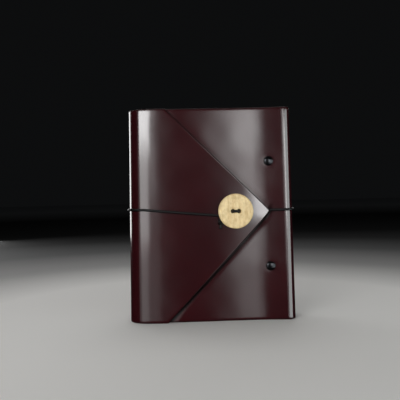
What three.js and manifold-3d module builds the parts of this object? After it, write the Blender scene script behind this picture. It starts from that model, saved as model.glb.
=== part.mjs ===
// Refillable leather notebook cover, closed, standing on its lower edge.
// Millimetres. X runs from the fore edge to the spine, Y from front to back, Z up.
import * as THREE from 'three';
import { mergeVertices } from 'three/addons/utils/BufferGeometryUtils.js';
import Module from 'manifold-3d';

const wasm = await Module();
wasm.setup();

// Cover
const coverHeight = 162;
const coverHalfWidth = 62.5;
const leather = 2;
const backOuterY = 15;
const flapOuterY = -15;
const frontOuterY = -10.7;
const foreEdgeRadius = 12;
const spineRadius = 7;
const foldGap = 0.3;
const restGap = 0.3;
const frontHingeX = 36;
const frontFreeEdgeX = -43;
const spineSeamX = 52.2;

// Flap
const flapShoulderTopX = -34;
const flapShoulderBottomX = -33.5;
const flapTipX = 45;
const flapTipZ = 83.2;
const flapTipRounding = 3.2;
const flapHoleRadius = 2.3;

// Pages: standard small loose leaves, punched with two holes
const pageWidth = 105;
const pageHeight = 148;
const pageRightX = 56.7;
const pageBottomZ = 7;
const pageFrontY = -8.3;
const pageBackY = 12.6;
const pageFoldX = 34.5;
const frontLeavesBackY = -6.3;
const middleLeavesBackY = -2.9;
const innerLeavesBackY = 1.8;

// Binding screws
const holeSpacing = 80;
const holeEdgeDistance = 12;
const postX = pageRightX - holeEdgeDistance;
const postMiddleZ = pageBottomZ + pageHeight / 2;
const postRadius = 2.5;
const postBoreRadius = 1.9;
const postHoleRadius = 2.8;
const postHeadRadius = 4.5;
const postHeadThickness = 1.2;
const screwShankRadius = 1.6;
const screwHeadRadius = 3.6;
const screwRim = 0.6;
const screwHeadHeight = 1.6;
const slotWidth = 1;
const slotDepth = 0.9;

// Button
const buttonX = 18.4;
const buttonZ = 83.5;
const buttonRadius = 13;
const buttonBackY = -17.4;
const buttonThickness = 4.2;
const buttonHoleRadius = 1.5;
const buttonHoleSpacing = 4.5;
const stitchRadius = 0.95;
const stopperRadius = 2.25;

// Elastic
const elasticRadius = 0.95;
const elasticLift = 0.2;
const elasticForeEdgeZ = 86;
const elasticSpineZ = 83.8;
const elasticLowZ = 80.6;
const eyeRadius = 3.8;

// Middle of the closed object between the stitch on the button and the elastic on the back
const frontmostY = -23.6;
const rearmostY = backOuterY + elasticLift + 2 * elasticRadius;
const middleY = (frontmostY + rearmostY) / 2;

const foreEdgeX = -coverHalfWidth + foreEdgeRadius;
const rearBendY = backOuterY - foreEdgeRadius;
const frontBendY = flapOuterY + foreEdgeRadius;
const foldGapAngle = foldGap / 2 / (foreEdgeRadius - leather);
const quarter = Math.PI / 2;

const notebook = new THREE.Group();
notebook.name = 'leather_notebook';

function signedVolume(positions, triangles) {
  let total = 0;
  const a = new THREE.Vector3();
  const b = new THREE.Vector3();
  const c = new THREE.Vector3();
  for (let i = 0; i < triangles.length; i += 3) {
    a.fromArray(positions, triangles[i] * 3);
    b.fromArray(positions, triangles[i + 1] * 3);
    c.fromArray(positions, triangles[i + 2] * 3);
    total += a.dot(b.cross(c)) / 6;
  }
  return total;
}

function toSolid(geometry) {
  const bare = geometry.clone();
  bare.deleteAttribute('normal');
  bare.deleteAttribute('uv');
  const merged = mergeVertices(bare, 1e-4);
  const positions = Float32Array.from(merged.attributes.position.array);
  const source = merged.index.array;
  const kept = [];
  for (let i = 0; i < source.length; i += 3) {
    const [a, b, c] = [source[i], source[i + 1], source[i + 2]];
    if (a !== b && b !== c && a !== c) {
      kept.push(a, b, c);
    }
  }
  if (signedVolume(positions, kept) < 0) {
    kept.reverse();
  }
  const triangles = Uint32Array.from(kept);
  return new wasm.Manifold(new wasm.Mesh({ numProp: 3, vertProperties: positions, triVerts: triangles }));
}

function addPiece(name, solid, look) {
  const mesh = solid.getMesh();
  const geometry = new THREE.BufferGeometry();
  geometry.setAttribute('position', new THREE.BufferAttribute(Float32Array.from(mesh.vertProperties), 3));
  geometry.setIndex(new THREE.BufferAttribute(Uint32Array.from(mesh.triVerts), 1));
  geometry.translate(0, -middleY, 0);
  geometry.computeVertexNormals();
  const piece = new THREE.Mesh(geometry, new THREE.MeshStandardMaterial(look));
  piece.name = name;
  notebook.add(piece);
}

const leatherLook = { color: 0x4a181d, roughness: 0.42, metalness: 0 };
const leatherEdgeLook = { color: 0x571d20, roughness: 0.5, metalness: 0 };
const paperLook = { color: 0xece3cf, roughness: 0.9, metalness: 0 };
const woodLook = { color: 0xe3cf9f, roughness: 0.55, metalness: 0 };
const screwLook = { color: 0x2a2c30, roughness: 0.35, metalness: 0.9 };
const elasticLook = { color: 0x131315, roughness: 0.8, metalness: 0 };

// A plan outline raised to the given height
function upright(outline, bottom, height, curveSegments = 12) {
  const geometry = new THREE.ExtrudeGeometry(outline, { depth: height, bevelEnabled: false, curveSegments });
  geometry.translate(0, 0, bottom);
  return toSolid(geometry);
}

// A front-view outline (x, z) carried from y0 to y1
function frontal(outline, y0, y1, curveSegments = 8) {
  const depth = y1 - y0;
  const geometry = new THREE.ExtrudeGeometry(outline, { depth, bevelEnabled: false, curveSegments });
  geometry.rotateX(quarter);
  geometry.translate(0, y1, 0);
  return toSolid(geometry);
}

function block(x0, x1, y0, y1, z0, z1) {
  const geometry = new THREE.BoxGeometry(x1 - x0, y1 - y0, z1 - z0);
  geometry.translate((x0 + x1) / 2, (y0 + y1) / 2, (z0 + z1) / 2);
  return toSolid(geometry);
}

// A turned profile of (radius, y) points about a line along Y
function turned(profile, x, z, segments = 40) {
  const points = profile.map(([r, y]) => new THREE.Vector2(r, y));
  const geometry = new THREE.LatheGeometry(points, segments);
  geometry.translate(x, 0, z);
  return toSolid(geometry);
}

function rod(x, z, radius, y0, y1, segments = 32) {
  return turned([[0, y0], [radius, y0], [radius, y1], [0, y1]], x, z, segments);
}

function cordAlong(points, radius, steps, curveSegments = 6) {
  const section = new THREE.Shape();
  section.absarc(0, 0, radius, 0, Math.PI * 2, false);
  const path = new THREE.CatmullRomCurve3(points, false, 'centripetal');
  const settings = { steps, extrudePath: path, bevelEnabled: false, curveSegments };
  return toSolid(new THREE.ExtrudeGeometry(section, settings));
}

function arcPlan(cx, cy, radius, start, end, count) {
  const points = [];
  for (let i = 0; i <= count; i += 1) {
    const angle = start + (end - start) * i / count;
    points.push([cx + radius * Math.cos(angle), cy + radius * Math.sin(angle)]);
  }
  return points;
}

function linePlan(from, to, count) {
  const points = [];
  for (let i = 1; i < count; i += 1) {
    const share = i / count;
    points.push([from[0] + (to[0] - from[0]) * share, from[1] + (to[1] - from[1]) * share]);
  }
  return points;
}

// Plan points lifted to heights that change evenly along their length
function raised(plan, startZ, endZ) {
  const lengths = [0];
  for (let i = 1; i < plan.length; i += 1) {
    const step = Math.hypot(plan[i][0] - plan[i - 1][0], plan[i][1] - plan[i - 1][1]);
    lengths.push(lengths[i - 1] + step);
  }
  const whole = lengths[lengths.length - 1];
  return plan.map(([x, y], i) => new THREE.Vector3(x, y, startZ + (endZ - startZ) * lengths[i] / whole));
}

const postHeights = { upper: postMiddleZ + holeSpacing / 2, lower: postMiddleZ - holeSpacing / 2 };

function punched(solid, y0, y1) {
  let result = solid;
  for (const z of Object.values(postHeights)) {
    result = result.subtract(rod(postX, z, postHoleRadius, y0 - 1, y1 + 1));
  }
  return result;
}

// Back cover, with the first half of the rear bend of the fore edge
function makeBackCover() {
  const bendEnd = quarter * 1.5 - foldGapAngle;
  const endX = spineSeamX - foldGap / 2;
  const outline = new THREE.Shape();
  outline.moveTo(endX, backOuterY);
  outline.lineTo(foreEdgeX, backOuterY);
  outline.absarc(foreEdgeX, rearBendY, foreEdgeRadius, quarter, bendEnd, false);
  outline.absarc(foreEdgeX, rearBendY, foreEdgeRadius - leather, bendEnd, quarter, true);
  outline.lineTo(endX, backOuterY - leather);
  addPiece('back_cover', punched(upright(outline, 0, coverHeight), backOuterY - leather, backOuterY), leatherLook);
}

// Bullnose between the two fold lines of the fore edge
function makeForeEdgeWrap() {
  const start = quarter * 1.5 + foldGapAngle;
  const end = quarter * 2.5 - foldGapAngle;
  const outline = new THREE.Shape();
  outline.absarc(foreEdgeX, rearBendY, foreEdgeRadius, start, Math.PI, false);
  outline.absarc(foreEdgeX, frontBendY, foreEdgeRadius, Math.PI, end, false);
  outline.absarc(foreEdgeX, frontBendY, foreEdgeRadius - leather, end, Math.PI, true);
  outline.absarc(foreEdgeX, rearBendY, foreEdgeRadius - leather, Math.PI, start, true);
  addPiece('fore_edge_wrap', upright(outline, 0, coverHeight), leatherLook);
}

function flapOutline() {
  const tip = new THREE.Vector2(flapTipX, flapTipZ);
  const upper = new THREE.Vector2(flapShoulderTopX, coverHeight).sub(tip).setLength(flapTipRounding).add(tip);
  const lower = new THREE.Vector2(flapShoulderBottomX, 0).sub(tip).setLength(flapTipRounding).add(tip);
  const outline = new THREE.Shape();
  outline.moveTo(-coverHalfWidth - 5, 0);
  outline.lineTo(flapShoulderBottomX, 0);
  outline.lineTo(lower.x, lower.y);
  outline.quadraticCurveTo(tip.x, tip.y, upper.x, upper.y);
  outline.lineTo(flapShoulderTopX, coverHeight);
  outline.lineTo(-coverHalfWidth - 5, coverHeight);
  return outline;
}

// Pointed flap, with the second half of the front bend of the fore edge
function makeClosingFlap() {
  const bendStart = quarter * 2.5 + foldGapAngle;
  const outline = new THREE.Shape();
  outline.absarc(foreEdgeX, frontBendY, foreEdgeRadius, bendStart, quarter * 3, false);
  outline.lineTo(flapTipX + 5, flapOuterY);
  outline.lineTo(flapTipX + 5, flapOuterY + leather);
  outline.lineTo(foreEdgeX, flapOuterY + leather);
  outline.absarc(foreEdgeX, frontBendY, foreEdgeRadius - leather, quarter * 3, bendStart, true);
  const sheet = upright(outline, -1, coverHeight + 2);
  const pointed = sheet.intersect(frontal(flapOutline(), flapOuterY - 2, 0));
  const hole = rod(buttonX, buttonZ, flapHoleRadius, flapOuterY - 1, flapOuterY + leather + 1);
  addPiece('closing_flap', pointed.subtract(hole), leatherLook);
}

// Front cover with rounded free corners
function makeFrontCover() {
  const corner = 3;
  const right = frontHingeX - foldGap / 2;
  const left = frontFreeEdgeX;
  const outline = new THREE.Shape();
  outline.moveTo(right, 0);
  outline.lineTo(right, coverHeight);
  outline.lineTo(left + corner, coverHeight);
  outline.absarc(left + corner, coverHeight - corner, corner, quarter, Math.PI, false);
  outline.lineTo(left, corner);
  outline.absarc(left + corner, corner, corner, Math.PI, Math.PI * 1.5, false);
  addPiece('front_cover', frontal(outline, frontOuterY, frontOuterY + leather), leatherLook);
}

// Part of the front that the binding screws clamp
function makeHingeStrip() {
  const left = frontHingeX + foldGap / 2;
  const right = spineSeamX - foldGap / 2;
  const backY = frontOuterY + leather;
  const strip = punched(block(left, right, frontOuterY, backY, 0, coverHeight), frontOuterY, backY);
  addPiece('front_hinge_strip', strip, leatherEdgeLook);
}

function makeSpine() {
  const left = spineSeamX + foldGap / 2;
  const bendX = coverHalfWidth - spineRadius;
  const rearY = backOuterY - spineRadius;
  const frontY = frontOuterY + spineRadius;
  const inner = spineRadius - leather;
  const outline = new THREE.Shape();
  outline.moveTo(left, backOuterY - leather);
  outline.lineTo(bendX, backOuterY - leather);
  outline.absarc(bendX, rearY, inner, quarter, 0, true);
  outline.absarc(bendX, frontY, inner, 0, -quarter, true);
  outline.lineTo(left, frontOuterY + leather);
  outline.lineTo(left, frontOuterY);
  outline.absarc(bendX, frontY, spineRadius, -quarter, 0, false);
  outline.absarc(bendX, rearY, spineRadius, 0, quarter, false);
  outline.lineTo(left, backOuterY);
  addPiece('spine', upright(outline, 0, coverHeight), leatherLook);
}

function makePages() {
  const top = pageBottomZ + pageHeight;
  const left = pageRightX - pageWidth;
  const foldLeft = pageFoldX - foldGap / 2;
  const foldRight = pageFoldX + foldGap / 2;
  const margins = block(foldRight, pageRightX, pageFrontY, pageBackY, pageBottomZ, top);
  addPiece('clamped_page_margins', punched(margins, pageFrontY, pageBackY), paperLook);
  const leaves = (name, y0, y1) => {
    addPiece(name, block(left, foldLeft, y0, y1, pageBottomZ, top), paperLook);
  };
  leaves('front_leaves', pageFrontY, frontLeavesBackY);
  leaves('middle_leaves', frontLeavesBackY + restGap, middleLeavesBackY);
  leaves('inner_leaves', middleLeavesBackY + restGap, innerLeavesBackY);
  leaves('rear_leaves', innerLeavesBackY + restGap, pageBackY);
}

// Barrel post: flat head on the back, blind bore open to the front
function makePost(name, z) {
  const headY = backOuterY + restGap;
  const endY = headY + postHeadThickness;
  const profile = [
    [0, endY], [postHeadRadius - 0.4, endY], [postHeadRadius, endY - 0.4], [postHeadRadius, headY],
    [postRadius, headY], [postRadius, frontOuterY + 0.1], [postBoreRadius, frontOuterY + 0.1],
    [postBoreRadius, 1], [0, 1],
  ];
  addPiece(name, turned(profile, postX, z, 36), screwLook);
}

// Domed screw with a single slot
function makeScrew(name, z, slotAngle) {
  const under = frontOuterY - restGap;
  const rimY = under - screwRim;
  const topY = under - screwHeadHeight;
  const profile = [[0, 0], [screwShankRadius, 0], [screwShankRadius, under], [screwHeadRadius, under]];
  const steps = 8;
  for (let i = 0; i <= steps; i += 1) {
    const angle = quarter * i / steps;
    profile.push([screwHeadRadius * Math.cos(angle), rimY + (topY - rimY) * Math.sin(angle)]);
  }
  profile[profile.length - 1][0] = 0;
  const slot = new THREE.BoxGeometry(screwHeadRadius * 2 + 1, slotDepth * 2, slotWidth);
  slot.rotateY(slotAngle);
  slot.translate(postX, topY, z);
  addPiece(name, turned(profile, postX, z).subtract(toSolid(slot)), screwLook);
}

// Turned button with flat faces, a rounded rim and two holes
function makeButton() {
  const faceY = buttonBackY - buttonThickness;
  const r = buttonRadius;
  const profile = [
    [0, buttonBackY], [r - 1.5, buttonBackY], [r - 0.6, buttonBackY - 0.3], [r - 0.1, buttonBackY - 1],
    [r, buttonBackY - 1.8], [r, faceY + 1.5], [r - 0.15, faceY + 0.8], [r - 0.5, faceY + 0.3],
    [r - 1, faceY + 0.05], [r - 1.5, faceY], [0, faceY],
  ];
  let solid = turned(profile, buttonX, buttonZ, 64);
  for (const side of [-0.5, 0.5]) {
    const hole = rod(buttonX + side * buttonHoleSpacing, buttonZ, buttonHoleRadius, faceY - 1, buttonBackY + 1, 28);
    solid = solid.subtract(hole);
  }
  addPiece('wooden_button', solid, woodLook);
}

// Cord through both button holes and the flap, ending in a flat stopper behind the flap
function makeButtonStitch() {
  const legX = buttonHoleSpacing / 2;
  const neckX = 1.05;
  const barY = frontmostY + stitchRadius;
  const half = [
    [neckX, -11.8], [neckX, -13.2], [neckX, -14.9], [neckX + 0.3, -15.8], [legX - 0.25, -16.9],
    [legX, -17.7], [legX, -19.2], [legX, -20.8], [legX - 0.3, -21.95], [legX - 1.15, barY],
  ];
  const points = half.map(([x, y]) => new THREE.Vector3(buttonX - x, y, buttonZ));
  points.push(new THREE.Vector3(buttonX, barY, buttonZ));
  for (const [x, y] of half.slice().reverse()) {
    points.push(new THREE.Vector3(buttonX + x, y, buttonZ));
  }
  const stopperFrontY = -12.8;
  const stopperBackY = -11.1;
  const stopper = turned([
    [0, stopperFrontY], [stopperRadius - 0.4, stopperFrontY], [stopperRadius, stopperFrontY + 0.4],
    [stopperRadius, stopperBackY - 0.4], [stopperRadius - 0.4, stopperBackY], [0, stopperBackY],
  ], buttonX, buttonZ, 28);
  addPiece('button_stitch_cord', cordAlong(points, stitchRadius, 72).add(stopper), elasticLook);
}

const elasticOffset = elasticLift + elasticRadius;
const foreElasticRadius = foreEdgeRadius + elasticOffset;
const rearFoldClear = 4.5 / foreElasticRadius;
const frontFoldClear = 2.6 / foreElasticRadius;
const frontHingeClear = 1.8;

function makeElasticOnFlap() {
  const start = quarter * 2.5 + frontFoldClear;
  const y = flapOuterY - elasticOffset;
  const bend = arcPlan(foreEdgeX, frontBendY, foreElasticRadius, start, quarter * 3, 6);
  const lowX = 5;
  const run = linePlan([foreEdgeX, y], [lowX, y], 8);
  const points = raised([...bend, ...run, [lowX, y]], elasticForeEdgeZ, elasticLowZ);
  points.push(new THREE.Vector3(10.5, y, 81.5));
  points.push(new THREE.Vector3(15.3, y, 82.5));
  addPiece('elastic_on_flap', cordAlong(points, elasticRadius, 48), elasticLook);
}

function makeElasticOnForeEdge() {
  const start = quarter * 1.5 + rearFoldClear;
  const end = quarter * 2.5 - frontFoldClear;
  const rear = arcPlan(foreEdgeX, rearBendY, foreElasticRadius, start, Math.PI, 5);
  const front = arcPlan(foreEdgeX, frontBendY, foreElasticRadius, Math.PI, end, 5);
  const side = linePlan(rear[rear.length - 1], front[0], 3);
  const points = raised([...rear, ...side, ...front], elasticForeEdgeZ, elasticForeEdgeZ);
  addPiece('elastic_on_fore_edge', cordAlong(points, elasticRadius, 28), elasticLook);
}

// One run over the back, round the spine and across the hinge strip
function makeElasticOnBack() {
  const start = quarter * 1.5 - rearFoldClear;
  const bendX = coverHalfWidth - spineRadius;
  const spineElasticRadius = spineRadius + elasticOffset;
  const rearY = backOuterY - spineRadius;
  const frontY = frontOuterY + spineRadius;
  const fore = arcPlan(foreEdgeX, rearBendY, foreElasticRadius, start, quarter, 3);
  const rearBend = arcPlan(bendX, rearY, spineElasticRadius, quarter, 0, 7);
  const frontBend = arcPlan(bendX, frontY, spineElasticRadius, 0, -quarter, 7);
  const back = linePlan(fore[fore.length - 1], rearBend[0], 14);
  const side = linePlan(rearBend[rearBend.length - 1], frontBend[0], 3);
  const toSpine = raised([...fore, ...back, ...rearBend, ...side, ...frontBend], elasticForeEdgeZ, elasticSpineZ);
  const y = frontOuterY - elasticOffset;
  const endX = frontHingeX + frontHingeClear;
  const across = [[bendX, y], ...linePlan([bendX, y], [endX, y], 4), [endX, y]];
  const points = [...toSpine, ...raised(across, elasticSpineZ, 83.3).slice(1)];
  addPiece('elastic_on_back', cordAlong(points, elasticRadius, 110), elasticLook);
}

// Free end of the elastic: an eye round the stopper, between flap and front cover
function makeElasticEye() {
  const y = frontOuterY - elasticOffset;
  const startX = frontHingeX - frontHingeClear;
  const points = [
    new THREE.Vector3(startX, y, 83.3),
    new THREE.Vector3(30, y, 83.35),
    new THREE.Vector3(26, y, 83.4),
    new THREE.Vector3(buttonX + eyeRadius, y, buttonZ),
  ];
  const ring = new THREE.TorusGeometry(eyeRadius, elasticRadius, 12, 32);
  ring.rotateX(quarter);
  ring.translate(buttonX, y, buttonZ);
  addPiece('elastic_eye_end', cordAlong(points, elasticRadius, 12).add(toSolid(ring)), elasticLook);
}

// Tied end of the elastic with its tail, beside the button
function makeEndKnot() {
  const y = flapOuterY - elasticOffset;
  const knotX = 6.3;
  const knotZ = 75.5;
  const lead = [
    new THREE.Vector3(13.2, y, 79.4),
    new THREE.Vector3(10.1, y, 77.9),
    new THREE.Vector3(knotX, y - 0.4, knotZ),
    new THREE.Vector3(6.1, y - 0.2, 72.9),
    new THREE.Vector3(5.8, y + 0.05, 70.8),
  ];
  const knot = new THREE.SphereGeometry(1.75, 18, 12);
  knot.scale(1.05, 0.95, 1.1);
  knot.translate(knotX, flapOuterY - restGap - 1.66, knotZ);
  addPiece('elastic_end_knot', cordAlong(lead, 0.85, 20).add(toSolid(knot)), elasticLook);
}

makeBackCover();
makeForeEdgeWrap();
makeClosingFlap();
makeFrontCover();
makeHingeStrip();
makeSpine();
makePages();
makePost('upper_post', postHeights.upper);
makePost('lower_post', postHeights.lower);
makeScrew('upper_screw', postHeights.upper, 0.5);
makeScrew('lower_screw', postHeights.lower, -0.3);
makeButton();
makeButtonStitch();
makeElasticOnFlap();
makeElasticOnForeEdge();
makeElasticOnBack();
makeElasticEye();
makeEndKnot();

export default notebook;
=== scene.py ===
import math
import random

import bmesh
import bpy
import numpy as np
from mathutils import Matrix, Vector


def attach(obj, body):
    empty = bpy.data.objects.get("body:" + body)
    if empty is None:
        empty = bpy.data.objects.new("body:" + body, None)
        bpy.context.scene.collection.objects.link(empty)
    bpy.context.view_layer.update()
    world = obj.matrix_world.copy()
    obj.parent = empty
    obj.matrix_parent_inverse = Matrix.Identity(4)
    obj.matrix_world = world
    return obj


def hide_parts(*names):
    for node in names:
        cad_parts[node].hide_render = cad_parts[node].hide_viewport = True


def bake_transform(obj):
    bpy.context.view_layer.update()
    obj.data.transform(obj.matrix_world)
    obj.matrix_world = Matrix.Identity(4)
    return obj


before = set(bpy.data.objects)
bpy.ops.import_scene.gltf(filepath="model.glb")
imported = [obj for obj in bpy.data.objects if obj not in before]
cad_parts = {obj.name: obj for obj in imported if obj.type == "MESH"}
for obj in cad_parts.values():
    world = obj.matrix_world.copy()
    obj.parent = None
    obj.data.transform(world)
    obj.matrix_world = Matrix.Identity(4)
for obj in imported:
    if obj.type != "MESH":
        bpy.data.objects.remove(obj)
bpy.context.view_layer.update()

# Sizes in millimetres, as in the solid model. MIDDLE_Y is the middle of the closed cover's depth, where the frame
# has its y = 0. POST is where a screw and its post stand. LIFT and BED say how the elastic lies on the leather, and
# UNDER_FLAP where it runs behind the flap.
MM = 0.001
MIDDLE_Y = -3.25
HEIGHT = 162.0
HALF_WIDTH = 62.5
LEATHER = 2.0
FORE_RADIUS = 12.0
SPINE_RADIUS = 7.0
FLAP_Y = -15.0
FRONT_Y = -10.7
BACK_Y = 15.0
FOLD_X = 36.0
FREE_EDGE_X = -43.0
FLAP_TIP_X = 45.0
FLAP_TIP_Z = 83.2
FLAP_TOP_X = -34.0
FLAP_BOTTOM_X = -33.5
POST_X = 44.7
POST_Z = (41.0, 121.0)
BUTTON = (18.4, 83.5)
PAGE_X = (-48.3, 56.7)
PAGE_Z = (7.0, 155.0)
PAGE_FOLD_X = 34.5
ELASTIC_R = 0.95
ELASTIC_LIFT = 0.2
ELASTIC_BED = 0.12
EYE_RADIUS = 3.8
UNDER_FLAP_X = 42
UNDER_FLAP_Y = -11.88
BUTTON_RADIUS = 13.0
HOLE_REACH = 2.25

# Camera, lights and floor, in metres.
CAMERA_PLACE = (-0.008, -0.388, 0.0924)
CAMERA_ROLL = math.radians(1.4)
SOFTBOX_DISTANCE = 1.0
FLOOR_REACH = 40.0
FLOOR_Z = -0.0002

random.seed(11)
noise_bank = np.random.default_rng(11)


def to_metres(points):
    """Model points in millimetres to the row frame in metres."""
    out = np.asarray(points, float).copy()
    out[:, 1] -= MIDDLE_Y
    return out * MM


# ---------------------------------------------------------------- camera

def make_camera():
    """The photo's viewpoint: square to the front, just above mid height, and a little out of level."""
    data = bpy.data.cameras.new("camera")
    data.lens = 45.0
    data.sensor_width = 36.0
    data.clip_start = 0.01
    data.clip_end = 20
    camera = bpy.data.objects.new("camera", data)
    bpy.context.scene.collection.objects.link(camera)
    camera.location = CAMERA_PLACE
    camera.rotation_euler = (math.radians(90.0), CAMERA_ROLL, 0.0)
    bpy.context.scene.camera = camera


# ---------------------------------------------------------------- mesh help

def new_object(name, points, faces, slots=None, materials=(), smooth=True):
    mesh = bpy.data.meshes.new(name)
    mesh.from_pydata([tuple(p) for p in to_metres(points)], [], faces)
    for material in materials:
        mesh.materials.append(material)
    if slots is not None:
        mesh.polygons.foreach_set("material_index", np.asarray(slots, np.int32))
    mesh.polygons.foreach_set("use_smooth", np.full(len(mesh.polygons), smooth))
    mesh.update()
    obj = bpy.data.objects.new(name, mesh)
    bpy.context.scene.collection.objects.link(obj)
    return obj


def set_uv(obj, coords):
    """One UV pair per vertex, in metres along and across the piece."""
    mesh = obj.data
    layer = mesh.uv_layers.new(name="surface")
    index = np.zeros(len(mesh.loops), np.int32)
    mesh.loops.foreach_get("vertex_index", index)
    layer.data.foreach_set("uv", np.asarray(coords, float)[index].ravel())


def sharpen(obj, degrees):
    """Edges steeper than this stay crisp in the shading."""
    mesh = obj.data
    work = bmesh.new()
    work.from_mesh(mesh)
    limit = math.radians(degrees)
    for edge in work.edges:
        if len(edge.link_faces) == 2 and edge.calc_face_angle(0.0) > limit:
            edge.smooth = False
    work.to_mesh(mesh)
    work.free()


# ---------------------------------------------------------------- leather path in plan

HALF_PI = math.pi / 2
FORE_X = -HALF_WIDTH + FORE_RADIUS
SPINE_X = HALF_WIDTH - SPINE_RADIUS
PATH = (
    (FLAP_TIP_X - FORE_X, 0.0),
    (FORE_RADIUS * HALF_PI, 1 / FORE_RADIUS),
    (BACK_Y - FLAP_Y - 2 * FORE_RADIUS, 0.0),
    (FORE_RADIUS * HALF_PI, 1 / FORE_RADIUS),
    (SPINE_X - FORE_X, 0.0),
    (SPINE_RADIUS * HALF_PI, 1 / SPINE_RADIUS),
    (BACK_Y - FRONT_Y - 2 * SPINE_RADIUS, 0.0),
    (SPINE_RADIUS * HALF_PI, 1 / SPINE_RADIUS),
    (SPINE_X - FREE_EDGE_X, 0.0),
)
BREAKS = [0.0]
for length, bend in PATH:
    BREAKS.append(BREAKS[-1] + length)
WHOLE = BREAKS[-1]
S_FORE_MIDDLE = (BREAKS[2] + BREAKS[3]) / 2
S_BACK_SEAM = BREAKS[4] + 6.0
S_SPINE_MIDDLE = (BREAKS[6] + BREAKS[7]) / 2
S_FOLD = BREAKS[8] + (SPINE_X - FOLD_X)
S_POST = BREAKS[8] + (SPINE_X - POST_X)
S_BACK_POST = BREAKS[4] + (POST_X - FORE_X)


def along_leather(s):
    """Plan points and outward normals of the outer face at distances s from the flap's tip."""
    s = np.asarray(s, float)
    x, y, heading = FLAP_TIP_X, FLAP_Y, math.pi
    out = np.zeros((len(s), 4))
    for k, (length, bend) in enumerate(PATH):
        low, high = BREAKS[k], BREAKS[k + 1]
        last = k == len(PATH) - 1
        inside = (s >= low) & ((s <= high) if last else (s < high))
        d = s[inside] - low
        if bend == 0.0:
            px = x + d * math.cos(heading)
            py = y + d * math.sin(heading)
            h = np.full(len(d), heading)
            x, y = x + length * math.cos(heading), y + length * math.sin(heading)
        else:
            r = 1 / bend
            cx, cy = x + r * math.sin(heading), y - r * math.cos(heading)
            h = heading - d * bend
            px, py = cx - r * np.sin(h), cy + r * np.cos(h)
            end = heading - length * bend
            x, y = cx - r * math.sin(end), cy + r * math.cos(end)
            heading = end
        out[inside, 0] = px
        out[inside, 1] = py
        out[inside, 2] = -np.sin(h)
        out[inside, 3] = np.cos(h)
    return out


def bump(distance, width):
    return np.exp(-((distance / width) ** 2))


def ease(t):
    t = np.clip(t, 0.0, 1.0)
    return t * t * (3 - 2 * t)


# Faint waves in the hide: how close together they are along it and up it, their phase, and their weight.
WAVE_HEIGHT = 0.045
WAVES = [
    (
        noise_bank.uniform(0.01, 0.05), noise_bank.uniform(0.012, 0.055),
        noise_bank.uniform(0, 6.3), noise_bank.uniform(0.5, 1.0),
    )
    for _ in range(9)
]


def leather_waves(s, z):
    total = np.zeros_like(s)
    for fs, fz, phase, amount in WAVES:
        total += amount * np.sin(6.283 * (fs * s + fz * z * (1 if phase > 3 else -1)) + phase)
    return total / len(WAVES)


def fold_lead(s, near, far, lead, sink):
    """Sinks the leather towards a fold: near is where the bend starts, far where it ends."""
    length = abs(far - near)
    along = (s - near) * (1 if far > near else -1)
    slope = 3 * sink / lead
    outside = -sink * np.clip(1 + along / lead, 0, 1) ** 3
    t = np.clip(along / length, 0, 1)
    inside = -sink * (2 * t ** 3 - 3 * t ** 2 + 1) - slope * length * (t ** 3 - 2 * t ** 2 + t)
    return np.where(along < 0, outside, inside)


def from_flap_edge(x, z):
    """Distance from the flap's two slanting edges, positive outside the flap."""
    lower = np.hypot(FLAP_TIP_X - FLAP_BOTTOM_X, FLAP_TIP_Z)
    upper = np.hypot(FLAP_TIP_X - FLAP_TOP_X, HEIGHT - FLAP_TIP_Z)
    below = ((x - FLAP_TIP_X) * FLAP_TIP_Z - (z - FLAP_TIP_Z) * (FLAP_TIP_X - FLAP_BOTTOM_X)) / lower
    above = ((x - FLAP_TIP_X) * (HEIGHT - FLAP_TIP_Z) + (z - FLAP_TIP_Z) * (FLAP_TIP_X - FLAP_TOP_X)) / upper
    return below, above


def tighten(s, start, end, bend, corner):
    """Pushes a round fold of the leather out to a smaller corner radius."""
    angle = HALF_PI * np.clip((s - start) / (end - start), 0, 1)
    from_side = np.minimum(angle, HALF_PI - angle)
    back = bend - corner
    flat = bend / np.cos(from_side) - bend
    off = from_side - HALF_PI / 2
    reach = back * math.sqrt(2)
    round_part = reach * np.cos(off) + np.sqrt(corner ** 2 - (reach * np.sin(off)) ** 2) - bend
    return np.where(from_side < np.arctan2(back, bend), flat, round_part)


# How steeply the front cover rises towards +X, at places along its width.
FRONT_TILT = (
    (-43.0, 0.0), (-30.0, 0.0), (-18.0, -0.036), (0.0, -0.042), (24.0, -0.038), (33.0, -0.028),
    (38.5, 0.0), (44.0, 0.055), (52.0, 0.085), (58.5, 0.095),
)
TILT_X = np.linspace(-43.0, 58.5, 204)
TILT_RISE = np.cumsum(np.interp(TILT_X, *zip(*FRONT_TILT))) * (TILT_X[1] - TILT_X[0])
TILT_RISE -= TILT_RISE.min() + 0.45

# Depth and width of the marks that the flap's two edges leave on the front cover.
LOWER_MARK = (0.46, 4.2)
UPPER_MARK = (0.06, 3.0)

# The flap's bow past the button: its depth, where it starts, its run to the tip, and the heights it fades in over.
BOW_DEPTH, BOW_X, BOW_RUN, BOW_POWER = 1.1, 25, 19, 1.5
BOW_Z, BOW_FADE = 70, 14

# How the leather sinks towards each round fold, and the corner radii of the spine's two folds.
FORE_LEAD, FLAP_SINK, BACK_SINK = 15.0, 0.75, 0.45
SPINE_LEAD, SPINE_SINK = 9.0, 0.2
FRONT_CORNER, FRONT_CORNER_TAPER, BACK_CORNER = 6.2, 2.0, 5.8

# Height and width of the leather's swellings and dents at the screws, and at the posts' heads behind.
SCREW_SWELL, SCREW_DENT = (0.14, 7.5), (0.22, 3.4)
POST_SWELL, POST_SWELL_RADIUS, POST_DENT = (0.08, 2.5), 8, (0.3, 5.5)

# The cover is a little wider at its foot than at its top.
FLARE = 0.017


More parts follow.
